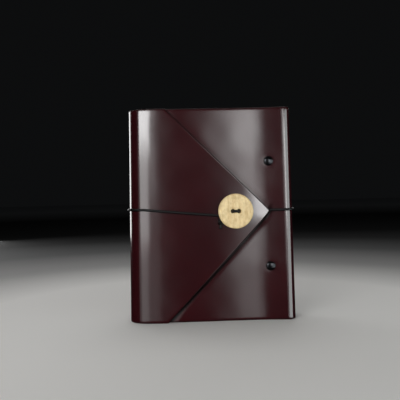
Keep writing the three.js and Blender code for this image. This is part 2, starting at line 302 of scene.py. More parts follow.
def front_form(s, z):
    """The front cover falls from the full fore edge to the clamped screws, then rises to the spine."""
    x = FOLD_X - (s - S_FOLD)
    rise = np.interp(x, TILT_X, TILT_RISE)
    flat = bump(z - BUTTON[1], 9.0) * ease((34 - x) / 10)
    return rise * (1 - 0.85 * flat) * ease((s - BREAKS[7]) / (BREAKS[8] - BREAKS[7]))


def front_pressed(s, z):
    """The flap's edges leave a shallow mark on the front cover."""
    x = FOLD_X - (s - S_FOLD)
    below, above = from_flap_edge(x, z)
    pressed = LOWER_MARK[0] * ease(1 - np.abs(below) / LOWER_MARK[1]) * ease((FLAP_TIP_X + 2 - x) / 6)
    return pressed + UPPER_MARK[0] * ease(1 - np.abs(above) / UPPER_MARK[1]) * ease((FLAP_TIP_X - x) / 6)


def flap_form(s, z):
    """The flap bows down past the button, where the elastic holds it."""
    x = FLAP_TIP_X - s
    return -BOW_DEPTH * np.clip((x - BOW_X) / BOW_RUN, 0, 1) ** BOW_POWER * ease((z - BOW_Z) / BOW_FADE)


def leather_form(s, z):
    """How far the leather stands out from its plain place, in millimetres."""
    out = WAVE_HEIGHT * leather_waves(s, z)
    out += np.where(s < BREAKS[1], flap_form(s, z), 0.0)
    out += fold_lead(s, BREAKS[1], BREAKS[2], FORE_LEAD, FLAP_SINK)
    out += fold_lead(s, BREAKS[4], BREAKS[3], FORE_LEAD, BACK_SINK)
    out += fold_lead(s, BREAKS[5], BREAKS[6], SPINE_LEAD, SPINE_SINK)
    out += tighten(s, BREAKS[7], BREAKS[8], SPINE_RADIUS, FRONT_CORNER - FRONT_CORNER_TAPER * z / HEIGHT)
    out += tighten(s, BREAKS[5], BREAKS[6], SPINE_RADIUS, BACK_CORNER)
    return out + front_form(s, z)


def leather_dents(s, z):
    """Marks pressed into the outer face, which hardly show on the inner face."""
    out = np.where(s > BREAKS[7], -front_pressed(s, z), 0.0)
    for post in POST_Z:
        r = np.hypot(s - S_POST, z - post)
        out += SCREW_SWELL[0] * bump(r, SCREW_SWELL[1]) - SCREW_DENT[0] * bump(r, SCREW_DENT[1])
        back = np.hypot(s - S_BACK_POST, z - post)
        swell = POST_SWELL[0] * bump(back - POST_SWELL_RADIUS, POST_SWELL[1])
        out += swell - POST_DENT[0] * bump(back, POST_DENT[1])
    return out


def leather_relief(s, z):
    return leather_form(s, z) + leather_dents(s, z)


def leather_point(s, z, depth):
    """Model points of the leather, depth 0 on the outer face and LEATHER on the inner face."""
    base = along_leather(s)
    share = 1 - 0.7 * depth / LEATHER
    offset = leather_form(s, z) + leather_dents(s, z) * share - depth
    x = base[:, 0] + base[:, 2] * offset
    y = base[:, 1] + base[:, 3] * offset
    flare = 1 + FLARE * (HEIGHT / 2 - z) / (HEIGHT / 2)
    return np.stack([x * flare, y, z], 1)


TIP_ROUND = 1.25
CORNER_ROUND = 3.0
UPPER_SLOPE = (HEIGHT - FLAP_TIP_Z) / (FLAP_TIP_X - FLAP_TOP_X)
LOWER_SLOPE = FLAP_TIP_Z / (FLAP_TIP_X - FLAP_BOTTOM_X)


def height_limits(s):
    """Lower and upper end of the leather at each distance s."""
    reach = np.sqrt(np.maximum(s * s - TIP_ROUND ** 2, 0.0))
    high = np.minimum(HEIGHT, FLAP_TIP_Z + UPPER_SLOPE * reach)
    low = np.maximum(0.0, FLAP_TIP_Z - LOWER_SLOPE * reach)
    left = np.clip(CORNER_ROUND - (WHOLE - s), 0.0, CORNER_ROUND)
    cut = CORNER_ROUND - np.sqrt(np.maximum(CORNER_ROUND ** 2 - left ** 2, 0.0))
    return low + cut, high - cut


BEVEL = 0.75

# A cut edge in section: how far it stands out, as a share of BEVEL, and its depth below the outer face.
EDGE_PROFILE = (
    (0.0, 0.0), (0.4, 0.06), (0.75, 0.24), (0.95, 0.55), (1.0, 0.9), (0.97, 1.25), (0.8, 1.62), (0.45, 1.9),
    (0.0, LEATHER),
)


def inset(low, high, amount):
    """Pulls both ends in, but never past the middle."""
    middle = (low + high) / 2
    return np.minimum(low + amount, middle - 0.02), np.maximum(high - amount, middle + 0.02)


def leather_piece(name, places, rows, free_start, free_end, materials):
    """A sheet of leather over the given places along the hide, with softly rounded cut edges.

    Seams that meet the next piece are plain; free ends are rounded like the top and bottom.
    """
    s = np.asarray(places, float)
    low, high = height_limits(s)
    low_in, high_in = inset(low, high, BEVEL)
    v = np.linspace(0, 1, rows)
    grid_s = np.repeat(s, rows)
    grid_z = (low_in[:, None] + (high_in - low_in)[:, None] * v[None, :]).ravel()
    count = len(s)
    loop = [(i, 0) for i in range(count)] + [(count - 1, j) for j in range(1, rows)]
    loop += [(i, rows - 1) for i in range(count - 2, -1, -1)] + [(0, j) for j in range(rows - 2, 0, -1)]
    edge = np.array([i * rows + j for i, j in loop])
    es, ez = grid_s[edge], grid_z[edge]
    tangent = np.stack([np.roll(es, -1) - np.roll(es, 1), np.roll(ez, -1) - np.roll(ez, 1)], 1)
    tangent /= np.maximum(np.linalg.norm(tangent, axis=1, keepdims=True), 1e-9)
    out_s, out_z = tangent[:, 1].copy(), -tangent[:, 0].copy()
    for k, (i, j) in enumerate(loop):
        plain_start = i == 0 and not free_start
        plain_end = i == count - 1 and not free_end
        if plain_start or plain_end:
            out_s[k] = 0.0
            out_z[k] = -1.0 if j == 0 else (1.0 if j == rows - 1 else 0.0)
    all_s, all_z, all_d = [grid_s, grid_s], [grid_z, grid_z], [np.zeros(len(grid_s)), np.full(len(grid_s), LEATHER)]
    starts = []
    total = 2 * len(grid_s)
    for out, depth in EDGE_PROFILE[1:-1]:
        starts.append(total)
        all_s.append(np.clip(es + out_s * BEVEL * out, 0.2, WHOLE))
        all_z.append(ez + out_z * BEVEL * out)
        all_d.append(np.full(len(es), depth))
        total += len(es)
    ss, zz, dd = np.concatenate(all_s), np.concatenate(all_z), np.concatenate(all_d)
    points = leather_point(ss, zz, dd)
    faces, slots = [], []
    back = len(grid_s)
    for i in range(count - 1):
        for j in range(rows - 1):
            a, b = i * rows + j, (i + 1) * rows + j
            faces.append((a, a + 1, b + 1, b))
            slots.append(0)
            faces.append((back + a, back + b, back + b + 1, back + a + 1))
            slots.append(1)
    ring_ids = [edge] + [np.arange(start, start + len(edge)) for start in starts] + [edge + back]
    n = len(edge)
    for r in range(len(ring_ids) - 1):
        for k in range(n):
            m = (k + 1) % n
            faces.append((int(ring_ids[r][k]), int(ring_ids[r][m]), int(ring_ids[r + 1][m]), int(ring_ids[r + 1][k])))
            slots.append(2)
    obj = new_object(name, points, faces, slots, materials)
    set_uv(obj, np.stack([ss * MM, zz * MM], 1))
    sharpen(obj, 50)
    return obj


def stations(*runs):
    """Distances along the leather from (start, end, step) runs, without repeats."""
    values = []
    for start, end, step in runs:
        n = max(1, round((end - start) / step))
        values.extend(np.linspace(start, end, n + 1).tolist())
    out = [values[0]]
    for value in values[1:]:
        if value - out[-1] > 1e-6:
            out.append(value)
    return out


# ---------------------------------------------------------------- node help

def new_material(name):
    material = bpy.data.materials.new(name)
    material.use_nodes = True
    tree = material.node_tree
    shader = tree.nodes["Principled BSDF"]
    return material, tree, shader


def add_node(tree, kind, **values):
    node = tree.nodes.new(kind)
    for key, value in values.items():
        if key in node.inputs:
            node.inputs[key].default_value = value
        else:
            setattr(node, key, value)
    return node


def mapped(tree, source, scale):
    """Texture coordinates of the given kind, stretched by scale along each axis."""
    coordinates = add_node(tree, "ShaderNodeTexCoord")
    mapping = add_node(tree, "ShaderNodeMapping")
    mapping.inputs["Scale"].default_value = scale
    tree.links.new(coordinates.outputs[source], mapping.inputs["Vector"])
    return mapping.outputs["Vector"]


def noise(tree, vector, scale, detail=3.0, roughness=0.55):
    node = add_node(tree, "ShaderNodeTexNoise", Scale=scale, Detail=detail, Roughness=roughness)
    tree.links.new(vector, node.inputs["Vector"])
    return node.outputs["Fac"]


def ramp(tree, source, stops):
    node = add_node(tree, "ShaderNodeValToRGB")
    elements = node.color_ramp.elements
    elements[0].position, elements[0].color = stops[0][0], (*stops[0][1], 1)
    elements[1].position, elements[1].color = stops[-1][0], (*stops[-1][1], 1)
    for position, colour in stops[1:-1]:
        element = elements.new(position)
        element.color = (*colour, 1)
    tree.links.new(source, node.inputs["Fac"])
    return node.outputs["Color"]


def remap(tree, source, low, high, to_low, to_high):
    node = add_node(tree, "ShaderNodeMapRange")
    for key, value in (("From Min", low), ("From Max", high), ("To Min", to_low), ("To Max", to_high)):
        node.inputs[key].default_value = value
    tree.links.new(source, node.inputs["Value"])
    return node.outputs["Result"]


def blend_colours(tree, factor, first, second, kind="MIX"):
    node = add_node(tree, "ShaderNodeMix", data_type="RGBA", blend_type=kind)
    for socket, value in ((node.inputs[0], factor), (node.inputs[6], first), (node.inputs[7], second)):
        if isinstance(value, bpy.types.NodeSocket):
            tree.links.new(value, socket)
        else:
            socket.default_value = value
    return node.outputs[2]


def bumped(tree, source, strength, distance, previous=None):
    node = add_node(tree, "ShaderNodeBump", Strength=strength, Distance=distance)
    tree.links.new(source, node.inputs["Height"])
    if previous is not None:
        tree.links.new(previous, node.inputs["Normal"])
    return node.outputs["Normal"]


# ---------------------------------------------------------------- materials

def from_flap_line(tree, surface):
    """Distance in metres from the flap's lower edge, measured on the front cover and positive outside the flap."""
    width = FLAP_TIP_X - FLAP_BOTTOM_X
    lower = math.hypot(width, FLAP_TIP_Z)
    across = add_node(tree, "ShaderNodeVectorMath", operation="DOT_PRODUCT")
    tree.links.new(surface, across.inputs[0])
    across.inputs[1].default_value = (-FLAP_TIP_Z / lower, -width / lower, 0.0)
    start = (FOLD_X + S_FOLD - FLAP_TIP_X + width) * FLAP_TIP_Z / lower * MM
    shifted = add_node(tree, "ShaderNodeMath", operation="ADD")
    tree.links.new(across.outputs["Value"], shifted.inputs[0])
    shifted.inputs[1].default_value = start
    return shifted.outputs["Value"]


def leather_material(name, paint_flap_shadow=False):
    """Smooth waxed hide: a dark body colour, a broad gloss and a thin, sharper polish over it.

    For the front cover, a painted shadow: a dark line without the polish, along the flap's lower edge where the flap
    casts its shade.
    """
    material, tree, shader = new_material(name)
    surface = mapped(tree, "UV", (1, 1, 1))
    clouds = noise(tree, surface, 24.0, 3.0)
    tone = ramp(tree, clouds, [
        (0.3, (0.0243, 0.0027, 0.0043)), (0.55, (0.029, 0.0034, 0.0051)), (0.75, (0.035, 0.0042, 0.0063)),
    ])
    fine = noise(tree, surface, 420.0, 3.0)
    speckle = ramp(tree, fine, [(0.35, (0.88, 0.86, 0.86)), (0.7, (1.08, 1.08, 1.08))])
    colour = blend_colours(tree, 1.0, tone, speckle, "MULTIPLY")
    if paint_flap_shadow:
        # Painted shadow of the flap's lower edge: a band along that edge, from the flap's tip down, is darkened and
        # loses its coat, so it shows no reflection either.
        away = from_flap_line(tree, surface)
        line = ramp(tree, remap(tree, away, -0.004, 0.004, 0.0, 1.0), [
            (0.0, (1.0, 1.0, 1.0)), (0.42, (0.04, 0.04, 0.04)), (0.66, (0.04, 0.04, 0.04)), (0.86, (1.0, 1.0, 1.0)),
        ])
        along = add_node(tree, "ShaderNodeSeparateXYZ")
        tree.links.new(surface, along.inputs[0])
        tip = (FOLD_X + S_FOLD - FLAP_TIP_X) * MM
        reached = remap(tree, along.outputs["X"], tip - 0.003, tip, 0.0, 1.0)
        line = blend_colours(tree, reached, (1, 1, 1, 1), line)
        colour = blend_colours(tree, 1.0, colour, line, "MULTIPLY")
        tree.links.new(line, shader.inputs["Coat Weight"])
    tree.links.new(colour, shader.inputs["Base Color"])
    creases = noise(tree, surface, 700.0, 4.0, 0.6)
    normal = bumped(tree, creases, 0.08, 0.00010)
    strokes = noise(tree, mapped(tree, "UV", (0.16, 1.0, 1.0)), 520.0, 4.0, 0.65)
    normal = bumped(tree, strokes, 0.10, 0.00012, normal)
    tree.links.new(normal, shader.inputs["Normal"])
    sheen = remap(tree, noise(tree, surface, 60.0, 5.0), 0.3, 0.7, 0.145, 0.18)
    tree.links.new(sheen, shader.inputs["Roughness"])
    shader.inputs["IOR"].default_value = 1.5
    shader.inputs["Specular IOR Level"].default_value = 0.42
    if not paint_flap_shadow:
        shader.inputs["Coat Weight"].default_value = 1.0
    shader.inputs["Coat Roughness"].default_value = 0.13
    return material


def flesh_side_material():
    material, tree, shader = new_material("leather_inner_side")
    surface = mapped(tree, "UV", (1, 1, 1))
    fibres = noise(tree, surface, 520.0, 6.0, 0.7)
    clouds = noise(tree, surface, 45.0, 4.0)
    tone = ramp(tree, clouds, [(0.3, (0.12, 0.030, 0.030)), (0.7, (0.19, 0.055, 0.048))])
    nap = ramp(tree, fibres, [(0.35, (0.72, 0.72, 0.72)), (0.68, (1.2, 1.2, 1.2))])
    tree.links.new(blend_colours(tree, 1.0, tone, nap, "MULTIPLY"), shader.inputs["Base Color"])
    tree.links.new(bumped(tree, fibres, 0.35, 0.0003), shader.inputs["Normal"])
    shader.inputs["Roughness"].default_value = 0.85
    shader.inputs["Sheen Weight"].default_value = 0.25
    return material


def cut_edge_material():
    material, tree, shader = new_material("leather_cut_edge")
    surface = mapped(tree, "Object", (1, 1, 1))
    layers = noise(tree, mapped(tree, "Object", (1, 1, 0.25)), 900.0, 5.0, 0.65)
    tone = ramp(tree, layers, [
        (0.3, (0.006, 0.0013, 0.0015)), (0.55, (0.012, 0.0024, 0.0027)), (0.75, (0.026, 0.0055, 0.0055)),
    ])
    tree.links.new(tone, shader.inputs["Base Color"])
    tree.links.new(bumped(tree, noise(tree, surface, 1400.0, 5.0), 0.3, 0.0002), shader.inputs["Normal"])
    shader.inputs["Roughness"].default_value = 0.5
    shader.inputs["Specular IOR Level"].default_value = 0.16
    return material


def paper_material():
    material, tree, shader = new_material("paper")
    surface = mapped(tree, "Object", (1, 1, 1))
    layers = noise(tree, mapped(tree, "Object", (0.05, 6.0, 0.05)), 900.0, 2.0)
    fibre = noise(tree, surface, 700.0, 5.0, 0.6)
    tone = ramp(tree, layers, [(0.3, (0.70, 0.63, 0.49)), (0.7, (0.86, 0.80, 0.67))])
    grain = ramp(tree, fibre, [(0.3, (0.93, 0.93, 0.92)), (0.7, (1.03, 1.03, 1.02))])
    tree.links.new(blend_colours(tree, 1.0, tone, grain, "MULTIPLY"), shader.inputs["Base Color"])
    tree.links.new(bumped(tree, fibre, 0.2, 0.0001), shader.inputs["Normal"])
    shader.inputs["Roughness"].default_value = 0.9
    return material


def wood_material():
    """Pale turned wood: growth bands seen across the face, fine pores along them, and faint mottling."""
    material, tree, shader = new_material("button_wood")
    across = mapped(tree, "Object", (1.0, 0.6, 0.45))
    bands = add_node(
        tree, "ShaderNodeTexWave", Scale=75.0, Distortion=9.0, Detail=4.0, wave_type="BANDS", bands_direction="X",
    )
    bands.inputs["Detail Scale"].default_value = 2.2
    tree.links.new(across, bands.inputs["Vector"])
    tone = ramp(tree, bands.outputs["Fac"], [
        (0.0, (0.73, 0.56, 0.305)), (0.45, (0.78, 0.62, 0.355)), (1.0, (0.81, 0.66, 0.39)),
    ])
    mottle = noise(tree, mapped(tree, "Object", (1, 1, 1)), 230.0, 6.0, 0.62)
    patches = ramp(tree, mottle, [(0.3, (0.80, 0.74, 0.62)), (0.5, (1.01, 0.98, 0.92)), (0.7, (1.16, 1.15, 1.12))])
    pores = noise(tree, mapped(tree, "Object", (1.0, 1.0, 0.12)), 2600.0, 3.0)
    streaks = ramp(tree, pores, [(0.36, (0.86, 0.80, 0.72)), (0.5, (1.0, 1.0, 1.0))])
    colour = blend_colours(tree, 1.0, blend_colours(tree, 1.0, tone, patches, "MULTIPLY"), streaks, "MULTIPLY")
    tree.links.new(colour, shader.inputs["Base Color"])
    normal = bumped(tree, pores, 0.25, 0.0001)
    normal = bumped(tree, bands.outputs["Fac"], 0.08, 0.0002, normal)
    tree.links.new(normal, shader.inputs["Normal"])
    tree.links.new(remap(tree, mottle, 0.3, 0.7, 0.42, 0.6), shader.inputs["Roughness"])
    return material


def gunmetal_material():
    material, tree, shader = new_material("gunmetal")
    surface = mapped(tree, "Object", (1, 1, 1))
    wear = noise(tree, surface, 900.0, 5.0)
    tone = ramp(tree, wear, [(0.3, (0.012, 0.0125, 0.014)), (0.7, (0.030, 0.031, 0.034))])
    tree.links.new(tone, shader.inputs["Base Color"])
    shader.inputs["Metallic"].default_value = 0.9
    tree.links.new(remap(tree, wear, 0.3, 0.7, 0.10, 0.19), shader.inputs["Roughness"])
    tree.links.new(bumped(tree, noise(tree, surface, 2400.0, 3.0), 0.08, 0.0001), shader.inputs["Normal"])
    return material


def elastic_material():
    """Black braided cover: the braid is in the mesh, the yarn's fibres are here."""
    material, tree, shader = new_material("elastic_cord")
    fibres = noise(tree, mapped(tree, "UV", (1, 1, 1)), 2200.0, 4.0, 0.7)
    tone = ramp(tree, fibres, [(0.3, (0.0012, 0.0012, 0.0014)), (0.7, (0.004, 0.004, 0.0045))])
    tree.links.new(tone, shader.inputs["Base Color"])
    tree.links.new(bumped(tree, fibres, 0.4, 0.00015), shader.inputs["Normal"])
    shader.inputs["Roughness"].default_value = 0.42
    shader.inputs["Specular IOR Level"].default_value = 0.3
    return material


# ---------------------------------------------------------------- cords

def smooth_path(points, step, closed=False):
    """A smooth line through the points, resampled evenly."""
    p = np.asarray(points, float)
    n = len(p)
    fine = []
    spans = n if closed else n - 1
    for i in range(spans):
        if closed:
            a, b, c, d = p[(i - 1) % n], p[i], p[(i + 1) % n], p[(i + 2) % n]
        else:
            b, c = p[i], p[i + 1]
            a = p[i - 1] if i > 0 else 2 * b - c
            d = p[i + 2] if i + 2 < n else 2 * c - b
        t = np.linspace(0, 1, 16, endpoint=False)[:, None]
        square = (2 * a - 5 * b + 4 * c - d) * t ** 2
        cube = (3 * b - a - 3 * c + d) * t ** 3
        fine.append(0.5 * ((2 * b) + (c - a) * t + square + cube))
    fine.append((p[0] if closed else p[-1])[None, :])
    fine = np.concatenate(fine)
    gaps = np.linalg.norm(np.diff(fine, axis=0), axis=1)
    run = np.concatenate([[0], np.cumsum(gaps)])
    count = max(4, int(round(run[-1] / step)))
    at = np.linspace(0, run[-1], count + 1)
    return np.stack([np.interp(at, run, fine[:, k]) for k in range(3)], 1), run[-1]


def tube_frames(line):
    tangent = np.gradient(line, axis=0)
    tangent /= np.linalg.norm(tangent, axis=1, keepdims=True)
    up = np.array([0.0, 0.0, 1.0])
    if abs(tangent[0] @ up) > 0.9:
        up = np.array([0.0, 1.0, 0.0])
    side = np.zeros_like(line)
    side[0] = up - tangent[0] * (up @ tangent[0])
    side[0] /= np.linalg.norm(side[0])
    for i in range(1, len(line)):
        v = side[i - 1] - tangent[i] * (side[i - 1] @ tangent[i])
        side[i] = v / np.linalg.norm(v)
    return side, np.cross(tangent, side)


STRANDS = 6
BRAID_PITCH = 3.4


def braided_cord(name, points, radius, material, start_run=0.0, step=0.28, sides=20, ends=(1.0, 1.0)):
    """A braided cord: crossing strands stand a little proud of its round body."""
    line, length = smooth_path(points, step)
    side, other = tube_frames(line)
    run = start_run + np.linspace(0, length, len(line))
    angle = np.linspace(0, 2 * math.pi, sides, endpoint=False)
    turn = 2 * math.pi * run / BRAID_PITCH
    right = np.abs(np.cos(STRANDS / 2 * (angle[None, :] + turn[:, None] / STRANDS * 2)))
    left = np.abs(np.cos(STRANDS / 2 * (angle[None, :] - turn[:, None] / STRANDS * 2)))
    r = radius * (0.955 + 0.06 * np.maximum(right, left))
    from_start = np.linspace(0, length, len(line))
    for distance, closing in ((from_start, ends[0]), (length - from_start, ends[1])):
        if closing < 1.0:
            near = np.clip(distance / (radius * 0.8), 0, 1)
            r *= (closing + (1 - closing) * np.sqrt(1 - (1 - near) ** 2))[:, None]
    outward = np.cos(angle)[None, :, None] * side[:, None, :] + np.sin(angle)[None, :, None] * other[:, None, :]
    rings = line[:, None, :] + r[:, :, None] * outward
    verts = rings.reshape(-1, 3)
    faces = []
    n = len(line)
    for i in range(n - 1):
        for j in range(sides):
            k = (j + 1) % sides
            faces.append((i * sides + j, i * sides + k, (i + 1) * sides + k, (i + 1) * sides + j))
    faces.append(tuple(range(sides - 1, -1, -1)))
    faces.append(tuple((n - 1) * sides + j for j in range(sides)))
    obj = new_object(name, verts, faces, None, [material])
    uv = np.stack([np.repeat(run, sides) * MM, np.tile(angle * radius, n) * MM], 1)
    set_uv(obj, uv)
    fix_outward(obj)
    return obj, length


def fix_outward(obj):
    work = bmesh.new()
    work.from_mesh(obj.data)
    bmesh.ops.recalc_face_normals(work, faces=work.faces)
    work.to_mesh(obj.data)
    work.free()


def on_leather(s, z, lift):
    """A point that stands lift millimetres off the outer face."""
    s = np.atleast_1d(np.asarray(s, float))
    z = np.atleast_1d(np.asarray(z, float))
    base = along_leather(s)
    offset = leather_relief(s, z) + lift
    return np.stack([base[:, 0] + base[:, 2] * offset, base[:, 1] + base[:, 3] * offset, z], 1)


# ---------------------------------------------------------------- turned pieces

def turned(name, profile, centre, segments, materials):
    """Profile of (radius, y) about a line along Y through centre (x, z)."""
    verts, faces, rings = [], [], []
    for r, y in profile:
        if r < 1e-6:
            rings.append([len(verts)])
            verts.append((centre[0], y, centre[1]))
        else:
            ring = []
            for k in range(segments):
                a = 2 * math.pi * k / segments
                ring.append(len(verts))
                verts.append((centre[0] + r * math.cos(a), y, centre[1] + r * math.sin(a)))
            rings.append(ring)
    for i in range(len(rings) - 1):
        a, b = rings[i], rings[i + 1]
        for k in range(segments):
            m = (k + 1) % segments
            if len(a) == 1:
                faces.append((a[0], b[k], b[m]))
            elif len(b) == 1:
                faces.append((a[k], b[0], a[m]))
            else:
                faces.append((a[k], b[k], b[m], a[m]))
    obj = new_object(name, verts, faces, None, materials)
    fix_outward(obj)
    return obj


def cut_away(obj, cutter):
    modifier = obj.modifiers.new("cut", "BOOLEAN")
    modifier.operation = "DIFFERENCE"
    modifier.solver = "EXACT"
    modifier.object = cutter
    graph = bpy.context.evaluated_depsgraph_get()
    cut = bpy.data.meshes.new_from_object(obj.evaluated_get(graph))
    obj.modifiers.remove(modifier)
    obj.data = cut
    bpy.data.objects.remove(cutter)
    cut.polygons.foreach_set("use_smooth", np.full(len(cut.polygons), True))
    sharpen(obj, 35)


def quarter_round(r0, y0, r1, y1, steps, bulge_first):
    """Points of a rounded corner from (r0, y0) to (r1, y1)."""
    out = []
    for i in range(steps + 1):
        a = HALF_PI * i / steps
        u, v = math.sin(a), 1 - math.cos(a)
        if not bulge_first:
            u, v = 1 - math.cos(a), math.sin(a)
        out.append((r0 + (r1 - r0) * u, y0 + (y1 - y0) * v))
    return out


# ---------------------------------------------------------------- build

make_camera()

smooth_leather = leather_material("smooth_leather")
# This copy of the leather carries the painted shadow along the flap's lower edge.
front_leather = leather_material("smooth_leather_front", True)
inner_side = flesh_side_material()
cut_edge = cut_edge_material()
hide = [smooth_leather, inner_side, cut_edge]
front_hide = [front_leather, inner_side, cut_edge]
paper = paper_material()
wood = wood_material()
gunmetal = gunmetal_material()
elastic = elastic_material()


def make_leather():
    """The four sheets, each with short steps where the hide bends or its outline turns."""
    rows = 84
    flap_places = stations(
        (1.33, 1.6, 0.09), (1.6, 3, 0.2), (3, 8, 0.8), (8, 78.5, 1.8), (78.5, 79, 0.5), (79, BREAKS[1], 1.6),
        (BREAKS[1], BREAKS[2], 0.8), (BREAKS[2], S_FORE_MIDDLE, 1.0),
    )
    wrap_places = stations((S_FORE_MIDDLE, BREAKS[3], 1.0), (BREAKS[3], BREAKS[4], 0.8), (BREAKS[4], S_BACK_SEAM, 1.5))
    back_places = stations(
        (S_BACK_SEAM, BREAKS[5], 1.7), (BREAKS[5], BREAKS[6], 0.6), (BREAKS[6], S_SPINE_MIDDLE, 1.4),
    )
    front_places = stations(
        (S_SPINE_MIDDLE, BREAKS[7], 1.4), (BREAKS[7], BREAKS[8], 0.6), (BREAKS[8], S_FOLD + 8, 0.9),
        (S_FOLD + 8, WHOLE - 3, 1.9), (WHOLE - 3, WHOLE - BEVEL, 0.5),
    )
    flap = leather_piece("leather_flap", flap_places, rows, True, False, hide)
    wrap = leather_piece("leather_fore_edge", wrap_places, rows, False, False, hide)
    back = leather_piece("leather_back", back_places, rows, False, False, hide)
    front = leather_piece("leather_front", front_places, rows, False, True, front_hide)
    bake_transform(flap)
    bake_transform(wrap)
    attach(back, "binding")
    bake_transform(front)
    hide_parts("closing_flap")
    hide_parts("fore_edge_wrap")
    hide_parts("back_cover", "spine")
    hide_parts("front_hinge_strip", "front_cover")


# Loose leaves: how far out of line one can lie sideways and up, and the share of its pitch left free on each side.
LEAF_SHIFT_X = 0.45
LEAF_SHIFT_Z = 0.35
LEAF_GAP = 0.07


def leaf_stack(name, y0, y1, body, nodes, count):
    """Loose leaves, each a thin sheet of its own, slightly out of line with its neighbours."""
    verts, faces = [], []
    x0, x1 = PAGE_X
    pitch = (y1 - y0) / count
    columns = [x0, x0 + 25, x0 + 50] + [PAGE_FOLD_X - 6 + k for k in range(13)] + [x1]
    m = len(columns)
    for k in range(count):
        shift_x = random.uniform(-LEAF_SHIFT_X, LEAF_SHIFT_X)
        shift_z = random.uniform(-LEAF_SHIFT_Z, LEAF_SHIFT_Z)
        near = y0 + pitch * (k + LEAF_GAP)
        far = y0 + pitch * (k + 1 - LEAF_GAP)
        base = len(verts)
        for x in columns:
            moved = x + (shift_x if x == x0 else 0.0)
            for z in (PAGE_Z[0] + shift_z, PAGE_Z[1] + shift_z):
                verts.append((moved, near, z))
                verts.append((moved, far, z))
        for i in range(m - 1):
            a, b = base + 4 * i, base + 4 * (i + 1)
            faces.append((a, b, b + 2, a + 2))
            faces.append((a + 1, a + 3, b + 3, b + 1))
            faces.append((a, a + 1, b + 1, b))
            faces.append((a + 2, b + 2, b + 3, a + 3))
        faces.append((base, base + 2, base + 3, base + 1))
        end = base + 4 * (m - 1)
        faces.append((end, end + 1, end + 3, end + 2))
    obj = new_object(name, verts, faces, None, [paper], smooth=False)
    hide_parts(*nodes)
    if body == "binding":
        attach(obj, "binding")
    else:
        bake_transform(obj)


def make_leaves():
    leaf_stack("leaves_front", -8.15, -6.3, "front_leaf_bundle", ["front_leaves"], 9)
    leaf_stack("leaves_middle", -6.0, -2.9, "middle_leaf_bundle", ["middle_leaves"], 14)
    leaf_stack("leaves_inner", -2.6, 1.8, "inner_leaf_bundle", ["inner_leaves"], 20)
    leaf_stack("leaves_rear", 2.1, 12.6, "binding", ["rear_leaves", "clamped_page_margins"], 48)


def make_button():
    face, back = -21.6, -17.4
    r = BUTTON_RADIUS
    profile = [(0, back), (r - 1.6, back)]
    profile += quarter_round(r - 1.6, back, r, back - 1.4, 6, True)
    profile += [(r, face + 1.5)]
    profile += quarter_round(r, face + 1.3, r - 1.3, face, 8, False)
    profile += [(r - 2.5, face), (6.0, face + 0.06), (0, face + 0.08)]
    button = turned("wooden_button_turned", profile, BUTTON, 96, [wood])
    for side in (-1, 1):
        hole = [
            (0, face - 1), (2.25, face - 1), (2.2, face - 0.05), (1.75, face + 0.22), (1.5, face + 0.6),
            (1.5, back - 0.5), (1.8, back + 0.05), (1.8, back + 1), (0, back + 1),
        ]
        cutter = turned("cutter", hole, (BUTTON[0] + side * HOLE_REACH, BUTTON[1]), 40, [wood])
        cut_away(button, cutter)
    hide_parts("wooden_button")
    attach(button, "button")


def make_stitch():
    x, z = BUTTON
    # Half of the cord's way, from the stopper to the middle of the stitch: distance from the middle, and y.
    half = [
        (1.05, -12.4), (1.05, -13.4), (1.05, -14.9), (1.35, -15.8), (2.0, -16.9), (HOLE_REACH, -17.7),
        (HOLE_REACH, -19.2), (HOLE_REACH, -20.8), (1.9, -21.95), (1.1, -22.5),
    ]
    points = [(x - u, y, z) for u, y in half] + [(x, -22.58, z)] + [(x + u, y, z) for u, y in half[::-1]]
    stitch, _ = braided_cord("button_stitch", points, 0.98, elastic, step=0.2)
    stopper = [
        (0, -12.8), (1.5, -12.8), (2.0, -12.6), (2.25, -12.2), (2.25, -11.7), (2.0, -11.3), (1.5, -11.1), (0, -11.1),
    ]
    knot = turned("button_stopper", stopper, BUTTON, 32, [elastic])
    set_uv(knot, [(v.co.x, v.co.z) for v in knot.data.vertices])
    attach(stitch, "button")
    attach(knot, "button")
    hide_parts("button_stitch_cord")


def screw_mesh(name, z, slot_turn, body, node):
    under, rim = -10.35, 0.5
    r, crown, shank = 3.6, 1.65, 1.6
    profile = [(0, 0), (shank, 0), (shank, under), (r - 0.25, under), (r, under - 0.2), (r, under - rim)]
    for i in range(1, 13):
        a = HALF_PI * i / 12
        profile.append((r * math.cos(a) if i < 12 else 0.0, under - rim - (crown - rim) * math.sin(a)))
    head = turned(name, profile, (POST_X, z), 64, [gunmetal])
    slot = new_object("cutter", *slot_box(POST_X, z, under - crown, slot_turn), None, [gunmetal], False)
    cut_away(head, slot)
    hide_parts(node)
    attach(head, body)


def slot_box(x, z, y, turn):
    """A box across a screw's head, turned about the screw's own line."""
    c, s = math.cos(turn), math.sin(turn)
    points = []
    for u in (-4.5, 4.5):
        for w in (-0.5, 0.5):
            for depth in (-1.0, 0.85):
                points.append((x + u * c - w * s, y + depth, z + u * s + w * c))
    faces = [(0, 1, 3, 2), (4, 6, 7, 5), (0, 4, 5, 1), (2, 3, 7, 6), (0, 2, 6, 4), (1, 5, 7, 3)]
    return points, faces


def post_mesh(name, z, node):
    head = BACK_Y + 0.05
    r, barrel, bore = 4.5, 2.5, 1.9
    mouth, bore_end = -9.9, 1
    profile = [
        (0, bore_end), (bore, bore_end), (bore, mouth), (barrel, mouth), (barrel, head),
        (r - 0.2, head), (r, head + 0.2), (r, head + 0.55),
    ]
    for i in range(1, 9):
        a = HALF_PI * i / 8
        profile.append((r - 1.0 + 1.0 * math.cos(a), head + 0.55 + 0.65 * math.sin(a)))
    profile.append((0, head + 1.25))
    post = turned(name, profile, (POST_X, z), 56, [gunmetal])
    sharpen(post, 40)
    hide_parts(node)
    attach(post, "binding")


